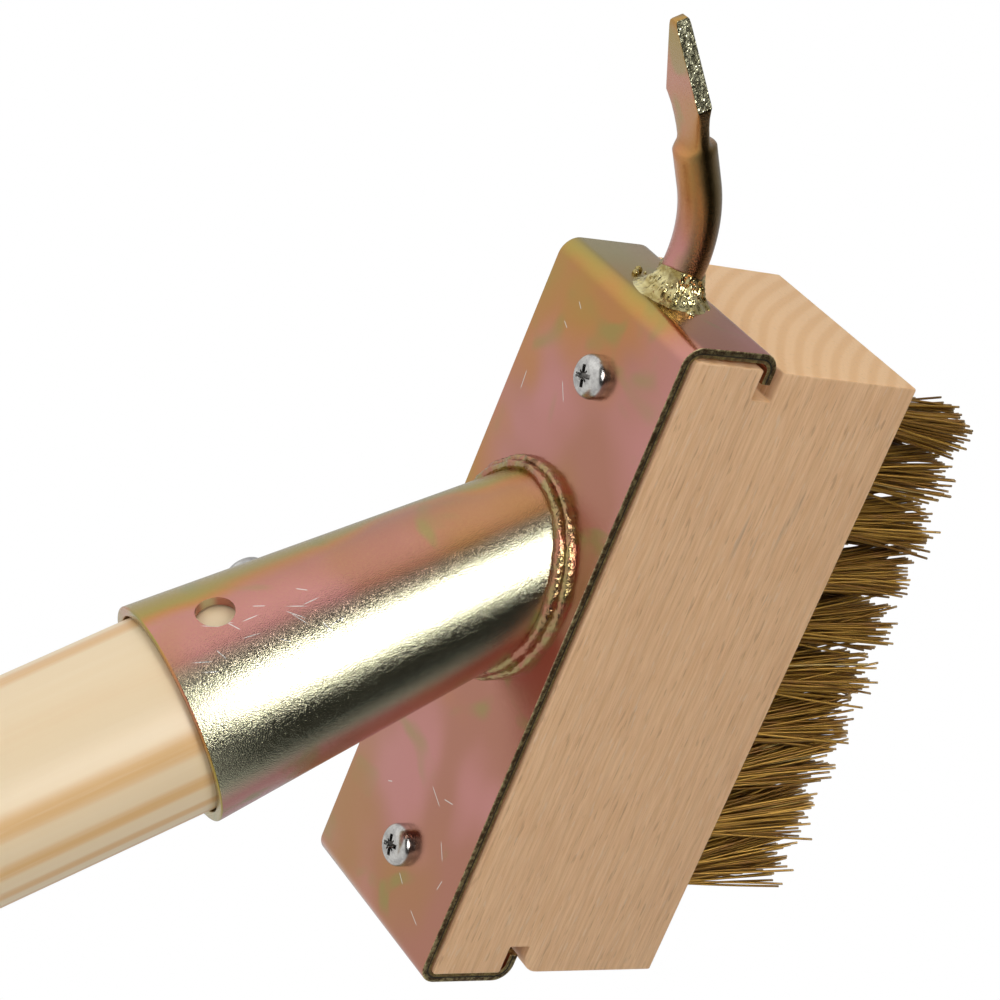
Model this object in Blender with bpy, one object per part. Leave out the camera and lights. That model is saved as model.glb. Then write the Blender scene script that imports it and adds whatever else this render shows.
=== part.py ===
"""Wire brush with a scraper hook, on a wooden pole.

Frame: metres, +Z up, bristles down. X runs along the brush block, with the scraper hook at +X. The origin is
the centre of the bracket's flat back, the plate's upper face.
"""

from math import cos, pi, radians, sin, tan

import bmesh
import bpy
from mathutils import Matrix, Vector

MM = 0.001
GAP = 0.3 * MM  # clearance kept between neighbouring pieces
ROUND = 48  # sides of a large round
SMALL_ROUND = 24  # sides of a screw, rod or hole

# brush block
SHEET = 1.5 * MM
BLOCK_LENGTH = 100 * MM
BLOCK_WIDTH = 34.8 * MM
BLOCK_HEIGHT = 40.0 * MM
BLOCK_TOP = -SHEET - GAP
BLOCK_BOTTOM = BLOCK_TOP - BLOCK_HEIGHT
BLOCK_SHIFT_Y = 0.6 * MM  # the block sits slightly off the bracket's middle
BLOCK_EDGE = 0.5 * MM
GROOVE_WIDTH = 3.5 * MM
GROOVE_DEPTH = 4.6 * MM
GROOVE_MIDDLE = -15.4 * MM
GROOVE_MOUTH_ROUND = 3.2 * MM

# folded bracket
BRACKET_WIDTH = 32.4 * MM
END_OUTER = BLOCK_LENGTH / 2 + GAP + SHEET
FRONT_OPENING = 0.4 * MM  # the front flange is bent slightly short of square
LIP_OUTER = -16.15 * MM
LIP_LENGTH = 4.6 * MM
BEND_RADIUS = 2.85 * MM
BEND_STEPS = 6

# conical pole socket, placed by where its axis meets the plate's upper face
SOCKET_X = 9.56 * MM
SOCKET_TILT = radians(32.24)
SOCKET_YAW = radians(-1.75)
SOCKET_LENGTH = 53.25 * MM
SOCKET_FOOT_RADIUS = 12.03 * MM
SOCKET_MOUTH_RADIUS = 15.77 * MM
SOCKET_WALL = 1.45 * MM
SOCKET_TAPER = (SOCKET_MOUTH_RADIUS - SOCKET_FOOT_RADIUS) / SOCKET_LENGTH
SPARE_HOLE_RADIUS = 2.7 * MM
SPARE_HOLE_ALONG = 44.0 * MM
SPARE_HOLE_ANGLE = radians(-5)
POLE_SCREW_ALONG = 34.0 * MM
POLE_SCREW_ANGLE = radians(75)

# weld beads
TOE_HALF_LENGTH = 16.2 * MM
TOE_HALF_WIDTH = 14.3 * MM
TOE_SHIFT_X = -1.6 * MM
BEAD_HEIGHT = 2.1 * MM
BEAD_CLIMB = 3.2 * MM  # the bead climbs higher where the tube leans over the plate
BEAD_LIP = 0.5 * MM
HOOK_WELD_RADIUS = 6.8 * MM
HOOK_WELD_LENGTH = 5.6 * MM

# pole
POLE_RADIUS = 14.0 * MM
POLE_LENGTH = 1200 * MM
POLE_START = 8.3 * MM  # how far up the socket's axis the tapered end stops
POLE_END_ROUND = 4 * MM

# scraper hook
ROD_RADIUS = 3.0 * MM
HOOK_ROOT_Z = -8.05 * MM
HOOK_BEND_START = 4.5 * MM  # straight rod between the flange and the bend
HOOK_BEND_RADIUS = 21 * MM
HOOK_BEND_ANGLE = radians(32.8)
HOOK_NECK_LENGTH = 6.0 * MM  # straight rod between the bend and the blade
BLADE_LENGTH = 19.8 * MM
BLADE_HALF_WIDTH = 4.0 * MM
BLADE_HALF_THICKNESS = 1.1 * MM
BLADE_TIP_HALF_WIDTH = 0.8 * MM

# screws
HEAD_RADIUS = 3.15 * MM
HEAD_HEIGHT = 2.2 * MM
SHANK_RADIUS = 1.75 * MM
BLOCK_SHANK_LENGTH = 20 * MM
POLE_SHANK_LENGTH = 14 * MM
RECESS_REACH = 1.9 * MM
RECESS_HALF_WIDTH = 0.35 * MM
RECESS_DEPTH = 1.1 * MM
FRONT_SCREW = (39.0 * MM, -1.3 * MM)
REAR_SCREW = (-38.0 * MM, -1.8 * MM)

# wire tufts
TUFT_ROWS = 4
TUFTS_IN_ROW = 10
ROW_PITCH = 8 * MM
TUFT_PITCH = 8.7 * MM
TUFT_SHIFT_X = 1.4 * MM
TUFT_ROOT_RADIUS = 2.2 * MM
TUFT_TIP_HALF_LENGTH = 3.6 * MM
TUFT_TIP_HALF_WIDTH = 3.7 * MM
TUFT_HOLE_DEPTH = 12 * MM
TUFT_SIDES = 12
REAR_TUFT_LEAN = radians(16)  # the wires stand upright under the hook and lean forwards behind it
FRONT_WIRE = 14.4 * MM  # bare length of the wires, worn shorter under the hook
MIDDLE_WIRE = 19.0 * MM
REAR_WIRE = 20.8 * MM

BEECH = ("beech", (0.62, 0.42, 0.26), 0.6, 0.0)
POLE_WOOD = ("pole_wood", (0.80, 0.62, 0.40), 0.5, 0.0)
ZINC = ("yellow_zinc_plate", (0.45, 0.22, 0.10), 0.3, 1.0)
WELD_METAL = ("plated_weld", (0.42, 0.24, 0.09), 0.4, 1.0)
SCREW_STEEL = ("screw_steel", (0.72, 0.72, 0.70), 0.3, 1.0)
BRASSED_WIRE = ("brassed_wire", (0.34, 0.20, 0.06), 0.45, 1.0)


def clear_scene():
    for thing in list(bpy.data.objects):
        bpy.data.objects.remove(thing, do_unlink=True)


def material(look):
    name, colour, roughness, metallic = look
    made = bpy.data.materials.get(name)
    if made is None:
        made = bpy.data.materials.new(name)
        made.use_nodes = True
        surface = made.node_tree.nodes["Principled BSDF"]
        surface.inputs["Base Color"].default_value = (*colour, 1)
        surface.inputs["Roughness"].default_value = roughness
        surface.inputs["Metallic"].default_value = metallic
        made.diffuse_color = (*colour, 1)
    return made


def solid(name, mesh, look, smooth=False, place=None):
    """Turn a finished bmesh into a named object, with its faces pointing out."""
    bmesh.ops.recalc_face_normals(mesh, faces=mesh.faces)
    data = bpy.data.meshes.new(name)
    mesh.to_mesh(data)
    mesh.free()
    made = bpy.data.objects.new(name, data)
    bpy.context.scene.collection.objects.link(made)
    if look is None:
        made.hide_render = True
        made.display_type = "WIRE"
    else:
        data.materials.append(material(look))
    if smooth:
        data.shade_smooth()
        data.set_sharp_from_angle(angle=radians(35))
    if place is not None:
        made.matrix_world = place
    return made


def loft(name, sections, look, smooth=True, place=None):
    """Skin a stack of closed sections, each a list of points in order, and cap both ends."""
    mesh = bmesh.new()
    rings = [[mesh.verts.new(point) for point in section] for section in sections]
    for lower, upper in zip(rings, rings[1:]):
        for here in range(len(lower)):
            after = (here + 1) % len(lower)
            mesh.faces.new((lower[here], lower[after], upper[after], upper[here]))
    mesh.faces.new(reversed(rings[0]))
    mesh.faces.new(rings[-1])
    return solid(name, mesh, look, smooth, place)


def circle(radius, height, sides):
    turns = [2 * pi * side / sides for side in range(sides)]
    return [Vector((radius * cos(turn), radius * sin(turn), height)) for turn in turns]


def turned(name, profile, look, sides=SMALL_ROUND, place=None):
    """A round solid about its own Z, from (radius, height) steps."""
    sections = [circle(radius, height, sides) for radius, height in profile]
    return loft(name, sections, look, place=place)


def extruded(name, outline, depth, look, place=None):
    """A flat outline in X and Z, drawn out along Y by depth on both sides of the middle."""
    mesh = bmesh.new()
    corners = [mesh.verts.new((x, -depth / 2, z)) for x, z in outline]
    face = mesh.faces.new(corners)
    drawn = bmesh.ops.extrude_face_region(mesh, geom=[face])
    moved = [item for item in drawn["geom"] if isinstance(item, bmesh.types.BMVert)]
    bmesh.ops.translate(mesh, vec=(0, depth, 0), verts=moved)
    return solid(name, mesh, look, place=place)


def box(name, low, high, look):
    mesh = bmesh.new()
    bmesh.ops.create_cube(mesh, size=1)
    size = Vector(high) - Vector(low)
    bmesh.ops.scale(mesh, vec=size, verts=mesh.verts)
    bmesh.ops.translate(mesh, vec=(Vector(high) + Vector(low)) / 2, verts=mesh.verts)
    return solid(name, mesh, look)


def cut(body, cutter):
    boolean = body.modifiers.new("cut_" + cutter.name, "BOOLEAN")
    boolean.operation = "DIFFERENCE"
    boolean.solver = "EXACT"
    boolean.object = cutter


def socket_frame():
    """Local Z runs up the socket's axis, from the plate's upper face."""
    lean = Matrix.Rotation(-SOCKET_TILT, 4, "Y")
    swing = Matrix.Rotation(SOCKET_YAW, 4, "Z")
    return Matrix.Translation((SOCKET_X, 0, 0)) @ swing @ lean


def socket_radius(along):
    return SOCKET_FOOT_RADIUS + SOCKET_TAPER * along


def across_socket(along, angle):
    """A frame whose Z points out through the socket's wall, at an angle from its upper side."""
    outwards = Matrix.Rotation(angle, 4, "Z") @ Matrix.Rotation(pi / 2, 4, "Y")
    return socket_frame() @ Matrix.Translation((0, 0, along)) @ outwards


def fold(corners, thickness, radius, steps):
    """Outline of a folded sheet from the corners of its outer face, with each bend as an arc."""
    points = [Vector(corner) for corner in corners]
    runs = [(after - before).normalized() for before, after in zip(points, points[1:])]
    inwards = [Vector((-run.y, run.x)) for run in runs]
    outer = [points[0]]
    inner = [points[0] + inwards[0] * thickness]
    for index, corner in enumerate(points[1:-1]):
        turn = runs[index].angle(runs[index + 1])
        centre = corner - runs[index] * radius * tan(turn / 2) + inwards[index] * radius
        for step in range(steps + 1):
            spin = Matrix.Rotation(turn * step / steps, 2)
            away = -(spin @ inwards[index])
            outer.append(centre + away * radius)
            inner.append(centre + away * (radius - thickness))
    outer.append(points[-1])
    inner.append(points[-1] + inwards[-1] * thickness)
    return [(point.x, point.y) for point in outer + inner[::-1]]


def build_bracket():
    front = END_OUTER + FRONT_OPENING
    corners = (
        (front - LIP_LENGTH, LIP_OUTER),
        (front, LIP_OUTER),
        (END_OUTER, 0),
        (-END_OUTER, 0),
        (-END_OUTER, LIP_OUTER),
        (-END_OUTER + LIP_LENGTH, LIP_OUTER),
    )
    outline = fold(corners, SHEET, BEND_RADIUS, BEND_STEPS)
    bracket = extruded("holder_bracket", outline, BRACKET_WIDTH, ZINC)
    for label, (x, y) in (("front", FRONT_SCREW), ("rear", REAR_SCREW)):
        hole = turned(
            label + "_plate_hole",
            ((SHANK_RADIUS + GAP, BLOCK_TOP - SHEET), (SHANK_RADIUS + GAP, SHEET)),
            None,
            place=Matrix.Translation((x, y, 0)),
        )
        cut(bracket, hole)


def build_socket():
    frame = socket_frame()
    below = -SOCKET_FOOT_RADIUS
    beyond = SOCKET_LENGTH + SOCKET_FOOT_RADIUS
    tube = turned(
        "handle_socket",
        ((socket_radius(below), below), (SOCKET_MOUTH_RADIUS, SOCKET_LENGTH)),
        ZINC,
        ROUND,
        frame,
    )
    low = 2 * below
    bore = turned(
        "socket_bore",
        (
            (socket_radius(low) - SOCKET_WALL, low),
            (socket_radius(beyond) - SOCKET_WALL, beyond),
        ),
        None,
        ROUND,
        frame,
    )
    reach = 3 * SOCKET_FOOT_RADIUS
    foot_plane = box(
        "socket_foot_plane",
        (SOCKET_X - reach, -reach, GAP - reach),
        (SOCKET_X + reach, reach, GAP),
        None,
    )
    spare_hole = turned(
        "spare_screw_hole",
        ((SPARE_HOLE_RADIUS, SOCKET_FOOT_RADIUS / 2), (SPARE_HOLE_RADIUS, 2 * SOCKET_MOUTH_RADIUS)),
        None,
        place=across_socket(SPARE_HOLE_ALONG, SPARE_HOLE_ANGLE),
    )
    screw_hole = turned(
        "pole_screw_hole",
        ((SHANK_RADIUS + GAP, SOCKET_FOOT_RADIUS / 2), (SHANK_RADIUS + GAP, 2 * SOCKET_MOUTH_RADIUS)),
        None,
        place=across_socket(POLE_SCREW_ALONG, POLE_SCREW_ANGLE),
    )
    for cutter in (bore, foot_plane, spare_hole, screw_hole):
        cut(tube, cutter)


def socket_outline(angle, height, margin):
    """A point on the socket's wall, this far above the plate, moved out by margin."""
    along = height / cos(SOCKET_TILT)
    radius = socket_radius(along) + margin
    middle = SOCKET_X - height * tan(SOCKET_TILT)
    x = middle + radius / cos(SOCKET_TILT) * cos(angle)
    return Vector((x, radius * sin(angle), height))


def build_socket_weld():
    angles = [2 * pi * side / ROUND for side in range(ROUND)]
    toe = []
    shoulder = []
    crown = []
    for angle in angles:
        x = SOCKET_X + TOE_SHIFT_X + TOE_HALF_LENGTH * cos(angle)
        base = Vector((x, TOE_HALF_WIDTH * sin(angle), GAP))
        climb = max(0.0, -cos(angle)) ** 2 * BEAD_CLIMB
        top = socket_outline(angle, BEAD_HEIGHT + climb, GAP + BEAD_LIP)
        bulge = (base + top) / 2
        bulge.z += BEAD_HEIGHT / 4
        toe.append(base)
        shoulder.append(bulge)
        crown.append(top)
    weld = loft("socket_weld", (toe, shoulder, crown), WELD_METAL)
    clearance = turned(
        "weld_clearance",
        (
            (socket_radius(-SOCKET_FOOT_RADIUS) + GAP, -SOCKET_FOOT_RADIUS),
            (socket_radius(SOCKET_LENGTH) + GAP, SOCKET_LENGTH),
        ),
        None,
        ROUND,
        socket_frame(),
    )
    cut(weld, clearance)


def build_pole():
    inner_clearance = SOCKET_WALL + GAP
    start_radius = socket_radius(POLE_START) - inner_clearance
    mouth_radius = min(POLE_RADIUS, socket_radius(SOCKET_LENGTH) - inner_clearance)
    profile = [
        (start_radius - 1 * MM, POLE_START),
        (start_radius, POLE_START + 1 * MM),
        (mouth_radius, SOCKET_LENGTH),
        (POLE_RADIUS, SOCKET_LENGTH + GAP),
    ]
    end = POLE_START + POLE_LENGTH
    for step in range(BEND_STEPS + 1):
        turn = pi / 2 * step / BEND_STEPS
        radius = POLE_RADIUS - POLE_END_ROUND * (1 - cos(turn))
        profile.append((radius, end - POLE_END_ROUND * (1 - sin(turn))))
    pole = turned("pole", profile, POLE_WOOD, ROUND, socket_frame())
    outer = socket_radius(POLE_SCREW_ALONG)
    pilot = turned(
        "pole_pilot_hole",
        (
            (SHANK_RADIUS + GAP, outer - POLE_SHANK_LENGTH - 2 * GAP),
            (SHANK_RADIUS + GAP, outer + HEAD_HEIGHT),
        ),
        None,
        place=across_socket(POLE_SCREW_ALONG, POLE_SCREW_ANGLE),
    )
    cut(pole, pilot)


def rod_section(centre, slope, half_width, half_thickness, squareness):
    """A section across the hook: round where squareness is 0, a rounded bar where it is near 1."""
    points = []
    across = Vector((0, 1, 0))
    upward = Vector((-sin(slope), 0, cos(slope)))
    power = 1 - 0.7 * squareness
    for side in range(SMALL_ROUND):
        turn = 2 * pi * side / SMALL_ROUND
        wide = abs(cos(turn)) ** power * (1 if cos(turn) >= 0 else -1)
        thick = abs(sin(turn)) ** power * (1 if sin(turn) >= 0 else -1)
        points.append(centre + across * half_width * wide + upward * half_thickness * thick)
    return points


def build_hook():
    sections = []
    start = Vector((END_OUTER + FRONT_OPENING + GAP, 0, HOOK_ROOT_Z))
    sections.append(rod_section(start, 0, ROD_RADIUS, ROD_RADIUS, 0))
    bend_start = start + Vector((HOOK_BEND_START, 0, 0))
    bend_centre = bend_start + Vector((0, 0, HOOK_BEND_RADIUS))
    for step in range(BEND_STEPS + 1):
        slope = HOOK_BEND_ANGLE * step / BEND_STEPS
        offset = Vector((sin(slope), 0, -cos(slope))) * HOOK_BEND_RADIUS
        sections.append(rod_section(bend_centre + offset, slope, ROD_RADIUS, ROD_RADIUS, 0))
    blade_way = Vector((cos(HOOK_BEND_ANGLE), 0, sin(HOOK_BEND_ANGLE)))
    neck = bend_centre + offset + blade_way * HOOK_NECK_LENGTH
    widest = 0.38
    blade = (
        (0.0, ROD_RADIUS, ROD_RADIUS, 0.0),
        (0.12, ROD_RADIUS, BLADE_HALF_THICKNESS, 0.8),
        (0.25, 0.9 * BLADE_HALF_WIDTH, BLADE_HALF_THICKNESS, 0.9),
        (widest, BLADE_HALF_WIDTH, BLADE_HALF_THICKNESS, 0.9),
        (1.0, BLADE_TIP_HALF_WIDTH, BLADE_HALF_THICKNESS, 0.9),
    )
    for part, half_width, half_thickness, squareness in blade:
        centre = neck + blade_way * BLADE_LENGTH * part
        sections.append(rod_section(centre, HOOK_BEND_ANGLE, half_width, half_thickness, squareness))
    loft("scraper_hook", sections, ZINC)


def build_hook_weld():
    foot = END_OUTER + FRONT_OPENING + GAP
    place = Matrix.Translation((foot, 0, HOOK_ROOT_Z)) @ Matrix.Rotation(pi / 2, 4, "Y")
    rim = ROD_RADIUS + GAP + BEAD_LIP
    weld = turned(
        "scraper_weld",
        (
            (HOOK_WELD_RADIUS, 0),
            (0.8 * HOOK_WELD_RADIUS, 0.45 * HOOK_WELD_LENGTH),
            (rim, HOOK_WELD_LENGTH),
        ),
        WELD_METAL,
        ROUND,
        place,
    )
    clearance = turned(
        "hook_clearance",
        ((ROD_RADIUS + GAP, -HOOK_WELD_LENGTH), (ROD_RADIUS + GAP, 2 * HOOK_WELD_LENGTH)),
        None,
        place=place,
    )
    cut(weld, clearance)


def build_screw(name, shank_length, place):
    """A pan-head screw whose head's underside is at the place's origin and whose head points up its Z."""
    profile = (
        (0.15 * SHANK_RADIUS, -shank_length),
        (SHANK_RADIUS, 3 * SHANK_RADIUS - shank_length),
        (SHANK_RADIUS, 0),
        (HEAD_RADIUS, 0),
        (HEAD_RADIUS, 0.45 * HEAD_HEIGHT),
        (0.85 * HEAD_RADIUS, 0.85 * HEAD_HEIGHT),
        (0.55 * HEAD_RADIUS, HEAD_HEIGHT),
    )
    screw = turned(name, profile, SCREW_STEEL, place=place)
    low = HEAD_HEIGHT - RECESS_DEPTH
    for arm, turn in (("a", 0.0), ("b", pi / 2)):
        slot = box(
            f"{name}_recess_{arm}",
            (-RECESS_REACH, -RECESS_HALF_WIDTH, low),
            (RECESS_REACH, RECESS_HALF_WIDTH, HEAD_HEIGHT + RECESS_DEPTH),
            None,
        )
        slot.matrix_world = place @ Matrix.Rotation(turn, 4, "Z")
        cut(screw, slot)


def build_screws():
    for name, (x, y) in (("front_block_screw", FRONT_SCREW), ("rear_block_screw", REAR_SCREW)):
        build_screw(name, BLOCK_SHANK_LENGTH, Matrix.Translation((x, y, GAP)))
    outer = socket_radius(POLE_SCREW_ALONG) + 2 * GAP
    seat = across_socket(POLE_SCREW_ALONG, POLE_SCREW_ANGLE) @ Matrix.Translation((0, 0, outer))
    build_screw("pole_screw", POLE_SHANK_LENGTH, seat)


def tuft_places():
    """(row, number, x, y) of every tuft, in rows staggered by half a pitch."""
    for row in range(TUFT_ROWS):
        stagger = TUFT_PITCH / 4 * (1 if row % 2 == 0 else -1)
        y = BLOCK_SHIFT_Y + ROW_PITCH * (row - (TUFT_ROWS - 1) / 2)
        for number in range(TUFTS_IN_ROW):
            x = TUFT_SHIFT_X + stagger + TUFT_PITCH * (number - (TUFTS_IN_ROW - 1) / 2)
            yield row, number, x, y


def tip_height(x):
    """Wires get shorter towards the hook."""
    end_wire = FRONT_WIRE if x > 0 else REAR_WIRE
    return BLOCK_BOTTOM - MIDDLE_WIRE - (end_wire - MIDDLE_WIRE) * abs(x) / (BLOCK_LENGTH / 2)


def build_block():
    mesh = bmesh.new()
    bmesh.ops.create_cube(mesh, size=1)
    size = (BLOCK_LENGTH, BLOCK_WIDTH, BLOCK_HEIGHT)
    bmesh.ops.scale(mesh, vec=size, verts=mesh.verts)
    middle = (0, BLOCK_SHIFT_Y, (BLOCK_TOP + BLOCK_BOTTOM) / 2)
    bmesh.ops.translate(mesh, vec=middle, verts=mesh.verts)
    bmesh.ops.bevel(
        mesh, geom=mesh.edges[:], offset=BLOCK_EDGE, segments=2, profile=0.5, affect="EDGES"
    )
    block = solid("brush_block", mesh, BEECH)
    cut(block, groove_cutter("front_groove", 1, 0))
    cut(block, groove_cutter("rear_groove", -1, GROOVE_MOUTH_ROUND))
    for row, number, x, y in tuft_places():
        hole = turned(
            f"tuft_hole_{row}_{number}",
            (
                (TUFT_ROOT_RADIUS + GAP, BLOCK_BOTTOM - TUFT_HOLE_DEPTH),
                (TUFT_ROOT_RADIUS + GAP, BLOCK_BOTTOM + TUFT_HOLE_DEPTH),
            ),
            None,
            TUFT_SIDES,
            Matrix.Translation((x, y, 0)),
        )
        cut(block, hole)
    for label, (x, y) in (("front", FRONT_SCREW), ("rear", REAR_SCREW)):
        pilot = turned(
            label + "_block_pilot_hole",
            (
                (SHANK_RADIUS + GAP, -BLOCK_SHANK_LENGTH - GAP),
                (SHANK_RADIUS + GAP, SHEET),
            ),
            None,
            place=Matrix.Translation((x, y, 0)),
        )
        cut(block, pilot)


def groove_cutter(name, side, mouth_round):
    """The slot across one end of the block. A worn mouth is rounded on its lower edge."""
    half = BLOCK_LENGTH / 2
    high = GROOVE_MIDDLE + GROOVE_WIDTH / 2
    low = GROOVE_MIDDLE - GROOVE_WIDTH / 2
    floor = half - GROOVE_DEPTH
    outside = half + GROOVE_DEPTH
    outline = [(floor, high), (floor, low)]
    if mouth_round:
        for step in range(BEND_STEPS + 1):
            turn = pi / 2 * step / BEND_STEPS
            x = half - mouth_round * (1 - sin(turn))
            outline.append((x, low - mouth_round * (1 - cos(turn))))
        outline.append((outside, low - mouth_round))
    else:
        outline.append((outside, low))
    outline.append((outside, high))
    outline = [(side * x, z) for x, z in outline]
    return extruded(name, outline, 2 * BLOCK_WIDTH, None)


def build_tufts():
    root = BLOCK_BOTTOM + TUFT_HOLE_DEPTH - GAP
    for row, number, x, y in tuft_places():
        tip = tip_height(x)
        lean = (BLOCK_BOTTOM - tip) * tan(REAR_TUFT_LEAN * (0.5 - x / BLOCK_LENGTH))
        sections = []
        for z, shift, half_length, half_width in (
            (root, 0, TUFT_ROOT_RADIUS, TUFT_ROOT_RADIUS),
            (BLOCK_BOTTOM, 0, TUFT_ROOT_RADIUS, TUFT_ROOT_RADIUS),
            (tip, lean, TUFT_TIP_HALF_LENGTH, TUFT_TIP_HALF_WIDTH),
        ):
            spread = Matrix.Diagonal((half_length, half_width, 1))
            middle = Vector((x + shift, y, 0))
            sections.append([middle + spread @ point for point in circle(1, z, TUFT_SIDES)])
        loft(f"tuft_{row + 1}_{number + 1:02d}", sections, BRASSED_WIRE)


def main():
    clear_scene()
    build_bracket()
    build_socket()
    build_socket_weld()
    build_hook()
    build_hook_weld()
    build_block()
    build_pole()
    build_screws()
    build_tufts()


main()
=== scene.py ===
"""Looks of the wire brush with a scraper hook: each visible piece and its material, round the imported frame.

The pieces are modelled in the part's own frame, which is the brush head's: metres, +X towards the hook, +Z up
out of the bracket's back. The pole, its socket and the screws are modelled along their own axes and then
placed.
"""

import random
from math import atan2, cos, pi, radians, sin, sqrt, tan

import bmesh
import bpy
from mathutils import Matrix, Vector, noise


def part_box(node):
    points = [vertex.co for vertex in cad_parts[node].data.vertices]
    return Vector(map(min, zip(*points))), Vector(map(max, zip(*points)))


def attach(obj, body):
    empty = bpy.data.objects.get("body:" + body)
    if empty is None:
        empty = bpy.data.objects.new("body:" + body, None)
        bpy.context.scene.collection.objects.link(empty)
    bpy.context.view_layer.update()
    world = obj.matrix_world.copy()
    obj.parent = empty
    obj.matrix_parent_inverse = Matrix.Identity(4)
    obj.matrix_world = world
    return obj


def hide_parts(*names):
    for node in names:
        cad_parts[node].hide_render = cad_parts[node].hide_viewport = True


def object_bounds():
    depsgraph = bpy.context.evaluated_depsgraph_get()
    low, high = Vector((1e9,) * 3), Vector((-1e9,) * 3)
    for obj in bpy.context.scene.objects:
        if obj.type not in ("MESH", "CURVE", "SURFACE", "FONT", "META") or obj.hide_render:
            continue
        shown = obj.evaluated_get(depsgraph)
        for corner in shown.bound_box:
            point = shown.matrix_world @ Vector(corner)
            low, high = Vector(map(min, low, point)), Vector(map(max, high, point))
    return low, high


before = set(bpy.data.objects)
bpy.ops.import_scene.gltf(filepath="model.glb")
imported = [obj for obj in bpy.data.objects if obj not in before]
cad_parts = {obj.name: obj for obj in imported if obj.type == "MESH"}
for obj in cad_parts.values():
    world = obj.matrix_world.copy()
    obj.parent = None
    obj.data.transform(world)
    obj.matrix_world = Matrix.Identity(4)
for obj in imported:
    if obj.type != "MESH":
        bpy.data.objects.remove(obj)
cad_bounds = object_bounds()

MM = 0.001

# the driving sizes, as in the CAD
SHEET = 1.5 * MM
GAP = 0.3 * MM
BEND_RADIUS = 2.85 * MM
LIP_LENGTH = 4.6 * MM
FRONT_OPENING = 0.4 * MM
SOCKET_X = 9.56 * MM
SOCKET_TILT = radians(32.24)
SOCKET_YAW = radians(-1.75)
SOCKET_LENGTH = 53.25 * MM
SOCKET_FOOT_RADIUS = 12.03 * MM
SOCKET_MOUTH_RADIUS = 15.77 * MM
SOCKET_WALL = 1.45 * MM
SOCKET_TAPER = (SOCKET_MOUTH_RADIUS - SOCKET_FOOT_RADIUS) / SOCKET_LENGTH
SPARE_HOLE = (44.0 * MM, radians(-5), 2.7 * MM)  # way along the socket, angle round it, radius
POLE_SCREW = (34.0 * MM, radians(75))
POLE_RADIUS = 14.0 * MM
POLE_LENGTH = 1200 * MM
POLE_START = 8.3 * MM
POLE_END_ROUND = 4 * MM
HEAD_RADIUS = 3.15 * MM
HEAD_HEIGHT = 2.2 * MM
SHANK_RADIUS = 1.75 * MM
FRONT_SCREW = (39.0 * MM, -1.3 * MM)
REAR_SCREW = (-38.0 * MM, -1.8 * MM)
ROD_RADIUS = 3.0 * MM
HOOK_ROOT_Z = -8.05 * MM
HOOK_STRAIGHT = 4.5 * MM  # straight rod between the flange and the bend
HOOK_BEND_RADIUS = 21 * MM
HOOK_BEND_ANGLE = radians(32.8)
HOOK_NECK = 6.0 * MM  # straight rod between the bend and the blade
BLADE_LENGTH = 19.8 * MM
TUFT_ROWS = 4
TUFTS_IN_ROW = 10
ROW_PITCH = 8 * MM
TUFT_PITCH = 8.7 * MM
TUFT_SHIFT_X = 1.4 * MM
TUFT_ROOT_RADIUS = 2.2 * MM
TUFT_HOLE_DEPTH = 12 * MM
BLOCK_HALF_LENGTH = 50 * MM
GROOVE_TOP = -13.65 * MM
GROOVE_BOTTOM = -17.15 * MM
GROOVE_DEPTH = 4.6 * MM
GROOVE_MOUTH_ROUND = 3.2 * MM

# sizes that only the looks have
EDGE_BANDS = (0.0, 0.5, 0.66, 1.0)  # burnished, line and torn, as shares of the sheet's thickness
RIM_ROUND = 0.25 * MM
HOOK_SIDES = 64
WELD_SINK = 0.15 * MM  # how far the socket's weld reaches into the plate and the tube
SCREW_SEAT = 0.1 * MM
RECESS_TURN = 0.35  # radians
SCRATCH_WIDTH = 0.11 * MM
WIRES_IN_TUFT = 110
WIRE_RADIUS = 0.19 * MM
WIRE_SIDES = 6
WIRE_STEPS = 6
WIRE_ROOT = 3 * MM  # how far the modelled wires reach into their holes
WIRE_LENGTH = 18.0 * MM  # bare, at the block's middle
HOOK_END_WEAR = 3.6 * MM  # how much shorter they are at the hook's end
FAR_END_GAIN = 1.6 * MM  # how much longer at the other
FAR_END_LEAN = radians(15)  # towards the hook; at the hook's end they stand upright
NEAR_ROW_REACH = 46.0 * MM  # the furthest that tips reach towards the hook
FAR_ROWS_REACH = 42.5 * MM
LAST_ROW_FAN = radians(2)  # the most that the last row leans outwards

block_low, block_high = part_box("brush_block")
bracket_low, bracket_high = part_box("holder_bracket")
BLOCK_MIDDLE_Y = (block_low.y + block_high.y) / 2
BLOCK_BOTTOM = block_low.z
LIP_OUTER = bracket_low.z
END_OUTER = -bracket_low.x
BRACKET_HALF_WIDTH = (bracket_high.y - bracket_low.y) / 2


# ---------------------------------------------------------------- building meshes


def add_object(name, mesh, place=None):
    """Put a finished bmesh into the scene, with its faces turned outwards."""
    bmesh.ops.recalc_face_normals(mesh, faces=mesh.faces)
    data = bpy.data.meshes.new(name)
    mesh.to_mesh(data)
    mesh.free()
    made = bpy.data.objects.new(name, data)
    bpy.context.scene.collection.objects.link(made)
    if place is not None:
        made.matrix_world = place
    return made


def shade(data, smooth_angle=35):
    data.shade_smooth()
    data.set_sharp_from_angle(angle=radians(smooth_angle))


def piece(name, mesh, materials, node, place=None, smooth_angle=35):
    """Turn a finished bmesh into a visible piece that rides on the body and stands for a CAD node."""
    made = add_object(name, mesh, place)
    for one in materials:
        made.data.materials.append(one)
    shade(made.data, smooth_angle)
    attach(made, "root")
    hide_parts(node)
    return made


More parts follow.
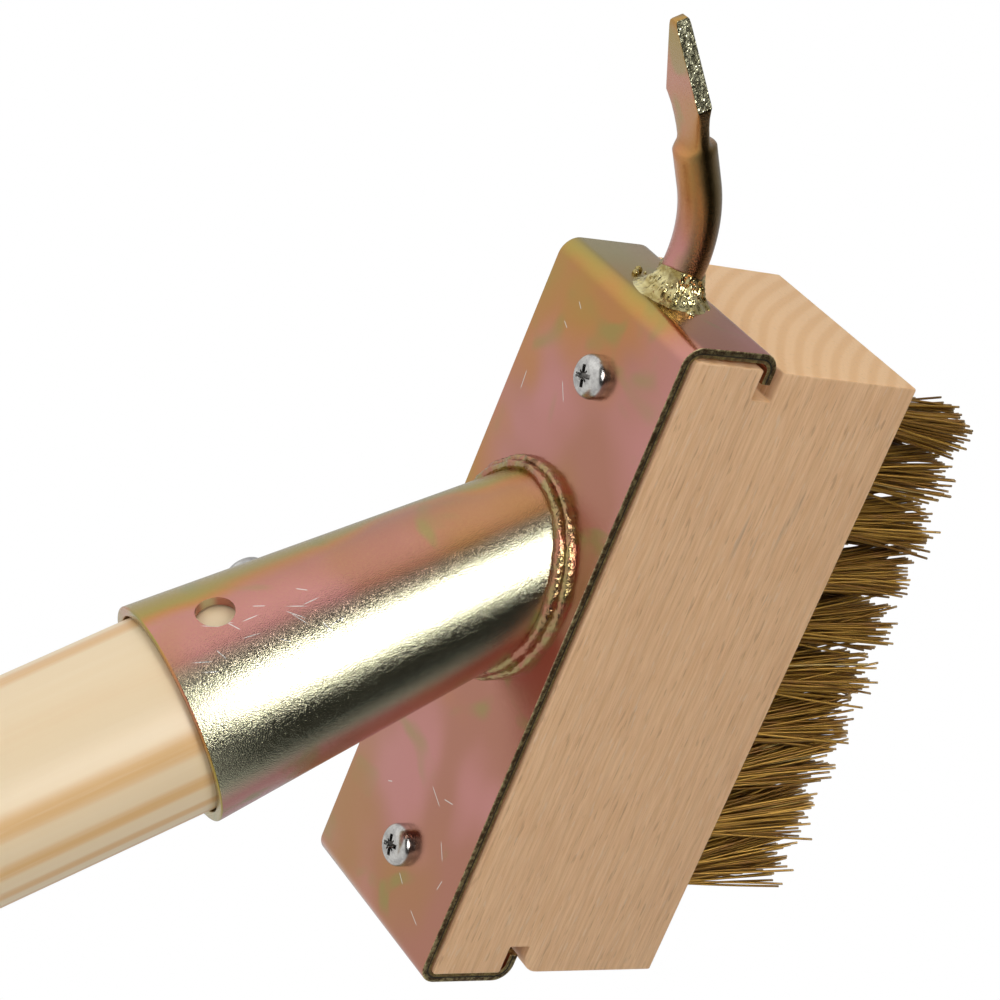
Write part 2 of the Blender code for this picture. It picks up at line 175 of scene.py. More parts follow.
def bridge(mesh, lower, upper, slots=None):
    """Join two closed rings of vertices by quads. slots gives each quad's material, if not the first."""
    for here in range(len(lower)):
        after = (here + 1) % len(lower)
        face = mesh.faces.new((lower[here], lower[after], upper[after], upper[here]))
        face.material_index = slots[here] if slots else 0


def skin(mesh, rings, slots_of=None):
    """Bridge a stack of closed rings of points, and cap both ends. slots_of(row) gives a row's materials."""
    made = [[mesh.verts.new(point) for point in ring] for ring in rings]
    for row, (lower, upper) in enumerate(zip(made, made[1:])):
        bridge(mesh, lower, upper, slots_of(row) if slots_of else None)
    mesh.faces.new(reversed(made[0]))
    mesh.faces.new(made[-1])
    return made


def ring_of(radius, height, sides):
    """Points on a circle round the local Z axis."""
    turns = [2 * pi * side / sides for side in range(sides)]
    return [Vector((radius * cos(turn), radius * sin(turn), height)) for turn in turns]


def drill(radius, low, high, sides, place):
    """A round cutter from low to high along its own Z, for apply_cuts to use and delete."""
    mesh = bmesh.new()
    skin(mesh, [ring_of(radius, low, sides), ring_of(radius, high, sides)])
    return add_object("drill", mesh, place)


def keep_modified(body):
    """Make the body's mesh what its modifiers have made of it, and drop the modifiers."""
    bpy.context.view_layer.update()
    graph = bpy.context.evaluated_depsgraph_get()
    result = bpy.data.meshes.new_from_object(body.evaluated_get(graph))
    body.modifiers.clear()
    old = body.data
    body.data = result
    bpy.data.meshes.remove(old)


def apply_cuts(body, cutters):
    """Cut the body with each cutter, and delete the cutters."""
    for one in cutters:
        boolean = body.modifiers.new("cut", "BOOLEAN")
        boolean.operation = "DIFFERENCE"
        boolean.solver = "EXACT"
        boolean.object = one
    keep_modified(body)
    for one in cutters:
        bpy.data.objects.remove(one, do_unlink=True)
    shade(body.data)


def soften(body, width, angle):
    """Round the edges that are sharper than this angle."""
    bevel = body.modifiers.new("soften", "BEVEL")
    bevel.width = width
    bevel.segments = 3
    bevel.limit_method = "ANGLE"
    bevel.angle_limit = radians(angle)
    bevel.harden_normals = False
    keep_modified(body)


# ---------------------------------------------------------------- building materials


class Surface:
    """A Principled material whose colour, roughness and bump are worked out by nodes in object space."""

    def __init__(self, name, metallic=0.0, roughness=0.4):
        self.material = bpy.data.materials.new(name)
        self.material.use_nodes = True
        self.tree = self.material.node_tree
        self.shader = self.tree.nodes["Principled BSDF"]
        self.shader.inputs["Metallic"].default_value = metallic
        self.shader.inputs["Roughness"].default_value = roughness
        self.place = self.tree.nodes.new("ShaderNodeTexCoord").outputs["Object"]
        self.normal = self.tree.nodes.new("ShaderNodeTexCoord").outputs["Normal"]

    def node(self, kind, **settings):
        made = self.tree.nodes.new(kind)
        for key, value in settings.items():
            setattr(made, key, value)
        return made

    def feed(self, socket, value):
        if isinstance(value, bpy.types.NodeSocket):
            self.tree.links.new(value, socket)
        else:
            socket.default_value = value

    def scaled(self, scale, place=None):
        """The place with each axis stretched by its own factor."""
        made = self.node("ShaderNodeVectorMath", operation="MULTIPLY")
        self.feed(made.inputs[0], place or self.place)
        made.inputs[1].default_value = scale
        return made.outputs[0]

    def math(self, operation, first, second=0.0):
        made = self.node("ShaderNodeMath", operation=operation)
        self.feed(made.inputs[0], first)
        self.feed(made.inputs[1], second)
        return made.outputs[0]

    def weighed(self, value, weight):
        return self.math("MULTIPLY", value, weight)

    def part(self, vector, axis):
        made = self.node("ShaderNodeSeparateXYZ")
        self.feed(made.inputs[0], vector)
        return made.outputs[axis]

    def noise(self, scale, detail=3.0, roughness=0.5, distortion=0.0, place=None, seed=0.0):
        made = self.node("ShaderNodeTexNoise", noise_dimensions="4D")
        self.feed(made.inputs["Vector"], place or self.place)
        made.inputs["W"].default_value = seed
        made.inputs["Scale"].default_value = scale
        made.inputs["Detail"].default_value = detail
        made.inputs["Roughness"].default_value = roughness
        made.inputs["Distortion"].default_value = distortion
        return made.outputs["Fac"]

    def dot(self, vector, way):
        made = self.node("ShaderNodeVectorMath", operation="DOT_PRODUCT")
        self.feed(made.inputs[0], vector)
        made.inputs[1].default_value = way
        return made.outputs["Value"]

    def step(self, value, low, high):
        """0 below low, 1 above high, smooth between. low may be the larger, which turns it round."""
        made = self.node("ShaderNodeMapRange", interpolation_type="SMOOTHSTEP", clamp=True)
        self.feed(made.inputs["Value"], value)
        made.inputs["From Min"].default_value = min(low, high)
        made.inputs["From Max"].default_value = max(low, high)
        made.inputs["To Min"].default_value = 0.0 if low < high else 1.0
        made.inputs["To Max"].default_value = 1.0 if low < high else 0.0
        return made.outputs["Result"]

    def mix(self, amount, first, second):
        made = self.node("ShaderNodeMix", data_type="RGBA")
        self.feed(made.inputs[0], amount)
        self.feed(made.inputs[6], (*first, 1) if isinstance(first, tuple) else first)
        self.feed(made.inputs[7], (*second, 1) if isinstance(second, tuple) else second)
        return made.outputs[2]

    def growth_rings(self, first, second, per_metre, wander, sway):
        """Waves from -1 to 1 round a far pith, from the place's distances to it along two axes."""
        squares = self.math("ADD", self.math("MULTIPLY", first, first), self.math("MULTIPLY", second, second))
        reach = self.math("MULTIPLY", self.math("SQRT", squares), per_metre)
        return self.math("SINE", self.math("ADD", reach, self.math("MULTIPLY", wander, sway)))

    def bump(self, height, distance):
        """Add a relief this deep, in metres, over any that is there."""
        made = self.node("ShaderNodeBump")
        made.inputs["Strength"].default_value = 1.0
        made.inputs["Distance"].default_value = distance
        self.feed(made.inputs["Height"], height)
        if self.shader.inputs["Normal"].is_linked:
            before = self.shader.inputs["Normal"].links[0].from_socket
            self.feed(made.inputs["Normal"], before)
        self.feed(self.shader.inputs["Normal"], made.outputs["Normal"])

    def colour(self, value):
        self.feed(self.shader.inputs["Base Color"], value)

    def roughness(self, varying, span, least):
        """Let the roughness go from least, where varying is 0, to span more, where it is 1."""
        value = self.math("ADD", self.math("MULTIPLY", varying, span), least)
        self.feed(self.shader.inputs["Roughness"], value)


ROSE = (0.43, 0.185, 0.140)
MAGENTA = (0.54, 0.235, 0.225)
BRONZE = (0.42, 0.205, 0.090)
ORANGE = (0.50, 0.215, 0.075)
OLIVE = (0.37, 0.28, 0.065)
GREEN = (0.26, 0.28, 0.085)
STRAW = (0.55, 0.42, 0.16)
SILVER = (0.72, 0.70, 0.66)
HIGHLIGHT_PALE_GREEN = (0.60, 0.59, 0.42)
DARK_REFLECTION = (0.085, 0.060, 0.022)
SOOT = (0.10, 0.05, 0.02)
BEECH = (0.67, 0.39, 0.20)
BEECH_LIGHT = (0.79, 0.51, 0.29)
BEECH_RING = (0.44, 0.25, 0.13)
BEECH_FLECK = (0.36, 0.18, 0.09)
BEECH_PALE_FLECK = (0.74, 0.55, 0.37)
END_GRAIN = (0.88, 0.57, 0.31)
END_GRAIN_RING = (0.82, 0.49, 0.235)
END_GRAIN_PORE = (0.52, 0.33, 0.19)
SMUDGE = (0.20, 0.17, 0.15)
LARGEST_SMUDGE = (0.0275, -0.017, -0.025)  # its place on the block's -Y side
SOFTWOOD = (0.84, 0.66, 0.42)
SOFTWOOD_BAND = (0.76, 0.47, 0.205)
SOFTWOOD_PALE = (0.86, 0.70, 0.48)
WIRE_DARK = (0.20, 0.092, 0.010)
WIRE_LIGHT = (0.45, 0.25, 0.042)
WIRE_GLINT = (0.62, 0.45, 0.16)
WIRE_TARNISH = (0.30, 0.14, 0.05)
WIRE_TIP = (0.52, 0.44, 0.30)


def zinc(
    name,
    seed,
    turned=(0, 0, 0),
    spread=(0, 0, 0),
    level=1.1,
    highlight_side=None,
    dark_reflection_side=None,
    marks=(),
    grit=0.06 * MM,
):
    """Yellow-chromated zinc: an uneven rainbow film over a fine bright grain.

    The film goes from rose to olive where its own unevenness, turned (by the way that a face looks) and
    spread (by the place, per metre) add up past level. highlight_side is the way that faces turned to the
    softbox's highlight look, which get a pale green tint, partly the film's colour and partly a painted
    highlight, and dark_reflection_side the way that faces with a painted dark reflection look, if the piece
    has them. grit is the depth of the grain.
    """
    made = Surface(name, metallic=1.0)
    broad = made.noise(26, 2.5, 0.55, 0.6, seed=seed)
    film = made.math("ADD", made.weighed(broad, 1.5), made.dot(made.normal, turned))
    film = made.math("ADD", film, made.dot(made.place, spread))
    patches = made.noise(75, 2.0, 0.5, 0.9, seed=seed + 3)
    blush = made.noise(40, 2.0, 0.5, 0.3, seed=seed + 7)
    colour = made.mix(made.step(blush, 0.42, 0.62), ROSE, MAGENTA)
    colour = made.mix(made.step(made.noise(33, 2.0, seed=seed + 11), 0.5, 0.7), colour, BRONZE)
    colour = made.mix(made.step(film, level - 0.25, level), colour, ORANGE)
    colour = made.mix(made.step(film, level - 0.1, level + 0.15), colour, OLIVE)
    colour = made.mix(made.weighed(made.step(patches, 0.58, 0.70), 0.55), colour, GREEN)
    # faces turned towards the highlight side get a pale green tint: partly the film's colour there, partly a
    # painted highlight where the softbox reflects
    if highlight_side:
        thin = made.math("ADD", made.dot(made.normal, highlight_side), made.weighed(broad, 0.12))
        colour = made.mix(made.step(thin, 0.80, 0.97), colour, HIGHLIGHT_PALE_GREEN)
    # faces turned towards this side are darkened: a painted dark reflection
    if dark_reflection_side:
        thick = made.math("ADD", made.dot(made.normal, dark_reflection_side), made.weighed(broad, 0.5))
        colour = made.mix(made.weighed(made.step(thick, 0.65, 1.15), 0.8), colour, DARK_REFLECTION)
    grain = made.noise(6500, 1.5, 0.6, seed=seed)
    colour = made.mix(made.weighed(made.step(grain, 0.35, 0.75), 0.18), colour, STRAW)
    if marks:
        colour = made.mix(scratch_mask(made, marks), colour, SILVER)
    made.colour(colour)
    made.roughness(made.noise(120, 3.0, 0.6, seed=seed + 5), 0.10, 0.085)
    made.bump(grain, grit)
    made.bump(made.noise(1500, 2.0, seed=seed + 2), 0.009 * MM)
    return made.material


def scratch_mask(made, marks):
    """How bright thin straight scratches make each place. Each mark is a middle, a way and half a length."""
    total = 0.0
    for middle, way, reach in marks:
        offset = made.node("ShaderNodeVectorMath", operation="SUBTRACT")
        made.feed(offset.inputs[0], made.place)
        offset.inputs[1].default_value = middle
        beside = made.node("ShaderNodeVectorMath", operation="CROSS_PRODUCT")
        made.feed(beside.inputs[0], offset.outputs[0])
        beside.inputs[1].default_value = way
        distance = made.node("ShaderNodeVectorMath", operation="LENGTH")
        made.feed(distance.inputs[0], beside.outputs[0])
        along = made.math("ABSOLUTE", made.dot(offset.outputs[0], way))
        thin = made.step(distance.outputs["Value"], SCRATCH_WIDTH, SCRATCH_WIDTH * 0.4)
        one = made.math("MULTIPLY", thin, made.step(along, reach, reach * 0.6))
        total = made.math("MAXIMUM", total, one)
    return made.weighed(total, 0.7)


def scratches_on_tube(count, seed):
    """Scratches beside the spare hole, on the -Y side of it, in the tube's own frame."""
    random.seed(seed)
    marks = []
    for _ in range(count):
        angle = radians(random.uniform(-46, -12))
        along = random.uniform(30, 50) * MM
        radius = socket_radius(along)
        outward = Vector((cos(angle), sin(angle), 0))
        round_tube = Vector((-sin(angle), cos(angle), 0))
        turn = random.gauss(0.9, 0.35)
        way = (round_tube * cos(turn) + Vector((0, 0, sin(turn)))).normalized()
        marks.append((outward * radius + Vector((0, 0, along)), way, random.uniform(0.8, 3.2) * MM))
    return marks


def scratches_on_plate(count, seed):
    """Scratches in all directions over the bracket's plate."""
    random.seed(seed)
    marks = []
    for _ in range(count):
        middle = Vector((random.uniform(-46, 46), random.uniform(-13, 13), 0)) * MM
        turn = random.uniform(0, pi)
        marks.append((middle, Vector((cos(turn), sin(turn), 0)), random.uniform(0.4, 2.0) * MM))
    return marks


def cut_edge(name, seed, metallic, low, high):
    """A band of the sheet's sheared edge, mottled between two colours."""
    made = Surface(name, metallic=metallic)
    grain = made.noise(1500, 3.0, 0.7, 0.4, seed=seed)
    made.colour(made.mix(made.step(grain, 0.4, 0.68), low, high))
    made.roughness(grain, 0.3, 0.25)
    made.bump(grain, 0.14 * MM)
    return made.material


def shadow_line(name, seed):
    """The thin near-black line of painted shade between the burnished and the torn band."""
    made = Surface(name, metallic=0.3, roughness=0.5)
    grain = made.noise(900, 2.0, 0.6, seed=seed)
    made.colour(made.mix(made.step(grain, 0.3, 0.7), (0.012, 0.010, 0.006), (0.05, 0.04, 0.02)))
    made.bump(grain, 0.05 * MM)
    return made.material


def sheared(name, seed):
    """The hook blade's torn sides: coarse facets, bright and dark."""
    made = Surface(name, metallic=1.0, roughness=0.24)
    cells = made.node("ShaderNodeTexVoronoi", feature="F1")
    made.feed(cells.inputs["Vector"], made.place)
    cells.inputs["Scale"].default_value = 2300
    grain = made.noise(1500, 2.0, 0.6, seed=seed)
    made.colour(made.mix(made.step(grain, 0.42, 0.62), (0.16, 0.15, 0.09), (0.62, 0.60, 0.40)))
    made.bump(cells.outputs["Distance"], 0.35 * MM)
    made.bump(grain, 0.12 * MM)
    return made.material


def weld_metal(name, seed, low, high, lumps, depth):
    """Plated weld: glossy lumps, mottled between two colours, with patches of brown soot."""
    made = Surface(name, metallic=1.0)
    broad = made.noise(230, 3.0, 0.6, 0.8, seed=seed)
    colour = made.mix(made.step(broad, 0.38, 0.6), low, high)
    soot = made.noise(320, 2.0, 0.6, seed=seed + 4)
    made.colour(made.mix(made.weighed(made.step(soot, 0.6, 0.72), 0.6), colour, SOOT))
    made.roughness(soot, 0.2, 0.14)
    made.bump(made.noise(lumps, 3.0, 0.6, seed=seed), depth)
    return made.material


def smudges(made, seed):
    """How grey each place of the wood is with smudges, which show as streaks along the grain."""
    from_largest = made.node("ShaderNodeVectorMath", operation="DISTANCE")
    made.feed(from_largest.inputs[0], made.place)
    from_largest.inputs[1].default_value = LARGEST_SMUDGE
    patches = made.step(made.noise(90, 3.0, 0.7, seed=seed + 8), 0.64, 0.74)
    patches = made.math("MAXIMUM", patches, made.step(from_largest.outputs["Value"], 9 * MM, 3 * MM))
    streaks = made.step(made.noise(700, 1.0, seed=seed + 9, place=made.scaled((0.12, 1, 1))), 0.5, 0.7)
    return made.math("MULTIPLY", made.weighed(patches, 0.42), streaks)


def beech(name, seed):
    """Planed beech: rings round a far pith, short dark and pale flecks along the grain, pores on the ends."""
    made = Surface(name)
    wander = made.noise(22, 2.0, 0.5, seed=seed, place=made.scaled((0.25, 1, 1)))
    to_pith_y = made.math("ADD", made.part(made.place, 1), 55 * MM)
    to_pith_z = made.math("ADD", made.part(made.place, 2), 85 * MM)
    rings = made.growth_rings(to_pith_y, to_pith_z, 2300, wander, 9)
    fibre = made.noise(1900, 3.0, 0.65, seed=seed, place=made.scaled((0.06, 1, 1)))
    flecks = made.noise(2000, 1.0, 0.5, seed=seed + 2, place=made.scaled((0.14, 1, 1)))
    pale_flecks = made.noise(1800, 1.0, 0.5, seed=seed + 6, place=made.scaled((0.2, 1, 1)))
    side = made.mix(made.step(fibre, 0.3, 0.7), BEECH, BEECH_LIGHT)
    side = made.mix(made.weighed(made.step(rings, 0.2, 1.0), 0.12), side, BEECH_RING)
    side = made.mix(made.weighed(made.step(flecks, 0.62, 0.72), 0.42), side, BEECH_FLECK)
    side = made.mix(made.weighed(made.step(pale_flecks, 0.62, 0.72), 0.45), side, BEECH_PALE_FLECK)
    side = made.mix(smudges(made, seed), side, SMUDGE)
    pores = made.noise(1600, 2.0, 0.6, seed=seed + 5)
    end = made.mix(made.step(rings, -0.8, 1.0), END_GRAIN, END_GRAIN_RING)
    end = made.mix(made.weighed(made.step(pores, 0.55, 0.75), 0.3), end, END_GRAIN_PORE)
    on_end = made.step(made.math("ABSOLUTE", made.part(made.normal, 0)), 0.6, 0.9)
    made.colour(made.mix(on_end, side, end))
    made.roughness(fibre, 0.25, 0.42)
    made.bump(fibre, 0.16 * MM)
    made.bump(made.weighed(flecks, -1.0), 0.12 * MM)
    return made.material


def pole_wood(name, seed):
    """Varnished pale softwood, with warm growth bands running along the pole."""
    made = Surface(name)
    along = made.noise(9, 2.0, 0.5, seed=seed, place=made.scaled((1, 1, 0.12)))
    to_pith_x = made.math("ADD", made.part(made.place, 0), 30 * MM)
    to_pith_y = made.math("ADD", made.part(made.place, 1), -12 * MM)
    bands = made.growth_rings(to_pith_x, to_pith_y, 1500, along, 10)
    fine = made.noise(900, 3.0, 0.6, seed=seed, place=made.scaled((1, 1, 0.03)))
    bands = made.math("ADD", bands, made.weighed(fine, 1.6))
    colour = made.mix(made.step(bands, 0.4, 1.7), SOFTWOOD, SOFTWOOD_BAND)
    made.colour(made.mix(made.weighed(made.step(fine, 0.4, 0.7), 0.35), colour, SOFTWOOD_PALE))
    made.shader.inputs["Coat Weight"].default_value = 0.15
    made.shader.inputs["Coat Roughness"].default_value = 0.25
    made.roughness(fine, 0.2, 0.32)
    made.bump(fine, 0.04 * MM)
    return made.material


def wire_metal(name, seed):
    """Brass-washed steel wire: each wire has its own shade, a few are bright, and the cut tips are pale."""
    made = Surface(name, metallic=0.6)
    shade_of_wire = made.node("ShaderNodeAttribute", attribute_name="wire_shade").outputs["Fac"]
    tip = made.node("ShaderNodeAttribute", attribute_name="wire_tip").outputs["Fac"]
    tarnish = made.noise(300, 2.0, 0.6, seed=seed)
    colour = made.mix(made.step(shade_of_wire, 0.0, 1.0), WIRE_DARK, WIRE_LIGHT)
    colour = made.mix(made.step(shade_of_wire, 0.975, 0.985), colour, WIRE_GLINT)
    colour = made.mix(made.weighed(made.step(tarnish, 0.5, 0.75), 0.5), colour, WIRE_TARNISH)
    made.colour(made.mix(made.weighed(made.step(tip, 0.93, 1.0), 0.4), colour, WIRE_TIP))
    made.roughness(tarnish, 0.3, 0.28)
    made.bump(made.noise(2500, 2.0, seed=seed), 0.02 * MM)
    return made.material


def bright_steel(name, seed):
    """The screws' bright zinc, unevenly worn."""
    made = Surface(name, metallic=1.0)
    wear = made.noise(700, 3.0, 0.6, seed=seed)
    made.colour(made.mix(made.step(wear, 0.35, 0.75), (0.36, 0.35, 0.34), (0.64, 0.63, 0.60)))
    made.roughness(wear, 0.2, 0.13)
    made.bump(wear, 0.03 * MM)
    return made.material


# ---------------------------------------------------------------- bracket


def fold_stations(steps):
    """(outer point, inner point) pairs round the folded sheet, in X and Z, with each bend as an arc."""
    front = END_OUTER + FRONT_OPENING
    corners = [
        Vector((front - LIP_LENGTH, LIP_OUTER)),
        Vector((front, LIP_OUTER)),
        Vector((END_OUTER, 0)),
        Vector((-END_OUTER, 0)),
        Vector((-END_OUTER, LIP_OUTER)),
        Vector((-END_OUTER + LIP_LENGTH, LIP_OUTER)),
    ]
    runs = [(after - before).normalized() for before, after in zip(corners, corners[1:])]
    inwards = [Vector((-run.y, run.x)) for run in runs]
    stations = [(corners[0], corners[0] + inwards[0] * SHEET)]
    for index, corner in enumerate(corners[1:-1]):
        turn = runs[index].angle(runs[index + 1])
        centre = corner - runs[index] * BEND_RADIUS * tan(turn / 2) + inwards[index] * BEND_RADIUS
        for step in range(steps + 1):
            away = -(Matrix.Rotation(turn * step / steps, 2) @ inwards[index])
            stations.append((centre + away * BEND_RADIUS, centre + away * (BEND_RADIUS - SHEET)))
    stations.append((corners[-1], corners[-1] + inwards[-1] * SHEET))
    return stations


def build_bracket(face, burnished, shaded_line, torn):
    """The folded sheet, drilled for two screws. Its cut edge is burnished, then a thin line of painted shade,
    then torn.
    """
    mesh = bmesh.new()
    half = BRACKET_HALF_WIDTH
    rows = []
    for outer, inner in fold_stations(14):
        across = [outer.lerp(inner, share) for share in EDGE_BANDS]
        near = [mesh.verts.new((point.x, -half, point.y)) for point in across]
        far = [mesh.verts.new((point.x, half, point.y)) for point in across]
        rows.append(near + far[::-1])
    slots_round = (1, 2, 3, 0, 3, 2, 1, 0)
    for lower, upper in zip(rows, rows[1:]):
        bridge(mesh, lower, upper, slots_round)
    for end in (rows[0], rows[-1]):
        mesh.faces.new(end).material_index = 1
    metals = [face, burnished, shaded_line, torn]
    bracket = piece("bracket_sheet", mesh, metals, "holder_bracket")
    soften(bracket, 0.16 * MM, 50)
    holes = []
    for x, y in (FRONT_SCREW, REAR_SCREW):
        holes.append(drill(SHANK_RADIUS + GAP, -3 * SHEET, SHEET, 32, Matrix.Translation((x, y, 0))))
    apply_cuts(bracket, holes)


# ---------------------------------------------------------------- socket, pole and their welds


def socket_frame():
    """Local Z runs up the socket's axis, from the plate's upper face."""
    lean = Matrix.Rotation(-SOCKET_TILT, 4, "Y")
    swing = Matrix.Rotation(SOCKET_YAW, 4, "Z")
    return Matrix.Translation((SOCKET_X, 0, 0)) @ swing @ lean


def socket_radius(along):
    return SOCKET_FOOT_RADIUS + SOCKET_TAPER * along


def across_socket(along, angle):
    """A frame whose Z points out through the socket's wall, at an angle from its upper side."""
    outwards = Matrix.Rotation(angle, 4, "Z") @ Matrix.Rotation(pi / 2, 4, "Y")
    return socket_frame() @ Matrix.Translation((0, 0, along)) @ outwards


def build_socket(face, rim):
    """The rolled conical tube, with a spare screw hole. Its mouth is cut square and lightly rounded."""
    sides = 160
    foot = -8.5 * MM
    inner_mouth = SOCKET_MOUTH_RADIUS - SOCKET_WALL
    rounding = [pi / 2 * step / 3 for step in range(4)]
    # radius, height, and the material from there on: up the outside, over the rim and back to the foot
    profile = [(socket_radius(foot), foot, 0)]
    for along in (0.0, 0.35, 0.7):
        profile.append((socket_radius(SOCKET_LENGTH * along), SOCKET_LENGTH * along, 0))
    for turn in rounding:
        height = SOCKET_LENGTH - RIM_ROUND * (1 - sin(turn))
        profile.append((SOCKET_MOUTH_RADIUS - RIM_ROUND * (1 - cos(turn)), height, 1))
    for turn in rounding:
        height = SOCKET_LENGTH - RIM_ROUND * (1 - cos(turn))
        profile.append((inner_mouth + RIM_ROUND * (1 - sin(turn)), height, 1))
    profile.append((socket_radius(foot) - SOCKET_WALL, foot, 0))
    mesh = bmesh.new()
    rings = []
    for radius, height, _ in profile:
        rings.append([mesh.verts.new(point) for point in ring_of(radius, height, sides)])
    for row, (_, _, slot) in enumerate(profile):
        bridge(mesh, rings[row], rings[(row + 1) % len(rings)], [slot] * sides)
    tube = piece("socket_tube", mesh, [face, rim], "handle_socket", socket_frame())
    along, angle, radius = SPARE_HOLE
    beyond = 40 * MM
    below_plate = drill(beyond, -beyond, -0.1 * MM, 32, Matrix.Translation((SOCKET_X, 0, 0)))
    across = across_socket(along, angle)
    spare_hole = drill(radius, SOCKET_FOOT_RADIUS / 2, 2 * SOCKET_MOUTH_RADIUS, 64, across)
    apply_cuts(tube, [below_plate, spare_hole])


def socket_wall_point(angle, height, margin):
    """A point this far above the plate, and by a margin outside the socket's wall."""
    radius = socket_radius(height / cos(SOCKET_TILT)) + margin
    middle = SOCKET_X - height * tan(SOCKET_TILT)
    return Vector((middle + radius / cos(SOCKET_TILT) * cos(angle), radius * sin(angle), height))


def build_socket_weld(metal):
    """A bead run round the tube's foot in two passes, each a rippled ridge with a valley between."""
    turns = 420
    across = 18
    centre = Vector((SOCKET_X - 1.6 * MM, 0, -WELD_SINK))
    toe_reach_x, toe_reach_y = 16.2, 14.3
    low_height, climb_height = 2.3, 3.2
    mesh = bmesh.new()
    rings = []
    for turn in range(turns):
        angle = 2 * pi * turn / turns
        wander = noise.noise(Vector((cos(angle) * 3, sin(angle) * 3, 0.3)))
        toe_x = (toe_reach_x + 0.35 * wander) * MM * cos(angle)
        toe_y = (toe_reach_y + 0.35 * wander) * MM * sin(angle)
        toe = centre + Vector((toe_x, toe_y, 0))
        climb = max(0.0, -cos(angle)) ** 2
        height = (low_height + climb_height * climb + 0.3 * wander) * MM
        crown = socket_wall_point(angle, height, -WELD_SINK)
        outward = (toe - centre).normalized()
        lift = (outward * 0.55 + Vector((0, 0, 0.85))).normalized()
        ring = []
        for step in range(across + 1):
            share = step / across
            uneven = noise.noise(Vector((cos(angle) * 7, sin(angle) * 7, share * 2)))
            ripple = sin(angle * 62 + 2.2 * sin(pi * share) + 5 * uneven)
            two_ridges = abs(sin(2 * pi * share)) ** 0.8
            bulk = 0.25 * sin(pi * share)
            proud = (bulk + 0.55 * two_ridges * (1 + 0.05 * ripple + 0.5 * uneven)) * MM
            grit = noise.noise(Vector((cos(angle) * 26, sin(angle) * 26, share * 5))) * 0.22 * MM
            ring.append(toe.lerp(crown, share) + lift * (proud + grit * sin(pi * share)))
        ring.append(Vector((crown.x * 0.9 + SOCKET_X * 0.1, crown.y * 0.9, -2 * WELD_SINK)))
        rings.append([mesh.verts.new(point) for point in ring])
    for here, ring in enumerate(rings):
        bridge(mesh, ring, rings[(here + 1) % turns])
    piece("socket_bead", mesh, [metal], "socket_weld", smooth_angle=60)


def build_pole(wood):
    """A turned pole, driven into the cone on its tapered end, with a rounded far end."""
    inner = SOCKET_WALL + GAP
    mouth = min(POLE_RADIUS, socket_radius(SOCKET_LENGTH) - inner)
    profile = [
        (socket_radius(POLE_START) - inner - 1 * MM, POLE_START),
        (socket_radius(POLE_START) - inner, POLE_START + 1 * MM),
        (mouth, SOCKET_LENGTH - 1 * MM),
        (POLE_RADIUS, SOCKET_LENGTH + 2 * MM),
    ]
    end = POLE_START + POLE_LENGTH
    stretches = 30
    for step in range(1, stretches):
        profile.append((POLE_RADIUS, SOCKET_LENGTH + (end - SOCKET_LENGTH) * step / stretches))
    for step in range(9):
        turn = pi / 2 * step / 8
        height = end - POLE_END_ROUND * (1 - sin(turn))
        profile.append((POLE_RADIUS - POLE_END_ROUND * (1 - cos(turn)), height))
    mesh = bmesh.new()
    skin(mesh, [ring_of(radius, height, 128) for radius, height in profile])
    piece("pole_wood_round", mesh, [wood], "pole", socket_frame())


# ---------------------------------------------------------------- hook


def hook_section(centre, slope, half_width, half_thickness, corner):
    """A section across the hook. corner 1 is round, and towards 0 it is a flat bar with sharp corners."""
    points = []
    upward = Vector((-sin(slope), 0, cos(slope)))
    across = Vector((0, 1, 0))
    for side in range(HOOK_SIDES):
        turn = 2 * pi * (side + 0.5) / HOOK_SIDES
        wide = abs(cos(turn)) ** corner * (1 if cos(turn) >= 0 else -1)
        thick = abs(sin(turn)) ** corner * (1 if sin(turn) >= 0 else -1)
        points.append(centre + across * half_width * wide + upward * (half_thickness * thick))
    return points


